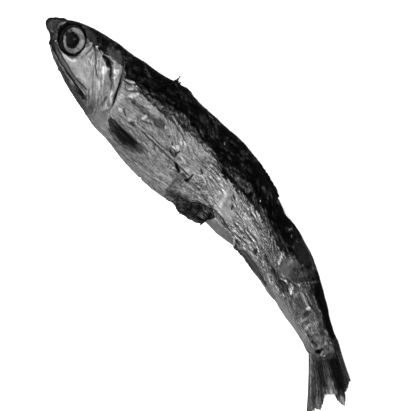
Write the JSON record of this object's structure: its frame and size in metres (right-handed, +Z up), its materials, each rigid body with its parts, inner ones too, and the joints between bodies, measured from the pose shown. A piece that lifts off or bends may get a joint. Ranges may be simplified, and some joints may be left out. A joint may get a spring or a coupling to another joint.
{
  "type": "dried anchovy",
  "caption": "Whole dried anchovy lying on its side, with shrivelled silver skin, dark back, pointed head, torn belly flap and ragged forked tail.",
  "frame": {"origin": "centre of the bounding box on the plane the right flank rests on", "axes": "+X from the snout to the tail, +Y to the back of the fish, +Z up out of the left flank"},
  "size_m": [0.0974, 0.0234, 0.0065],
  "materials": {
    "dried_skin": "shrivelled silver skin, near black along the back, satin sheen",
    "dried_eye": "dried glossy eye, pale ring round a black pupil"
  },
  "bodies": {
    "root": {"fish": "dried_skin", "eye_left": "dried_eye", "eye_right": "dried_eye"}
  },
  "joints": []
}
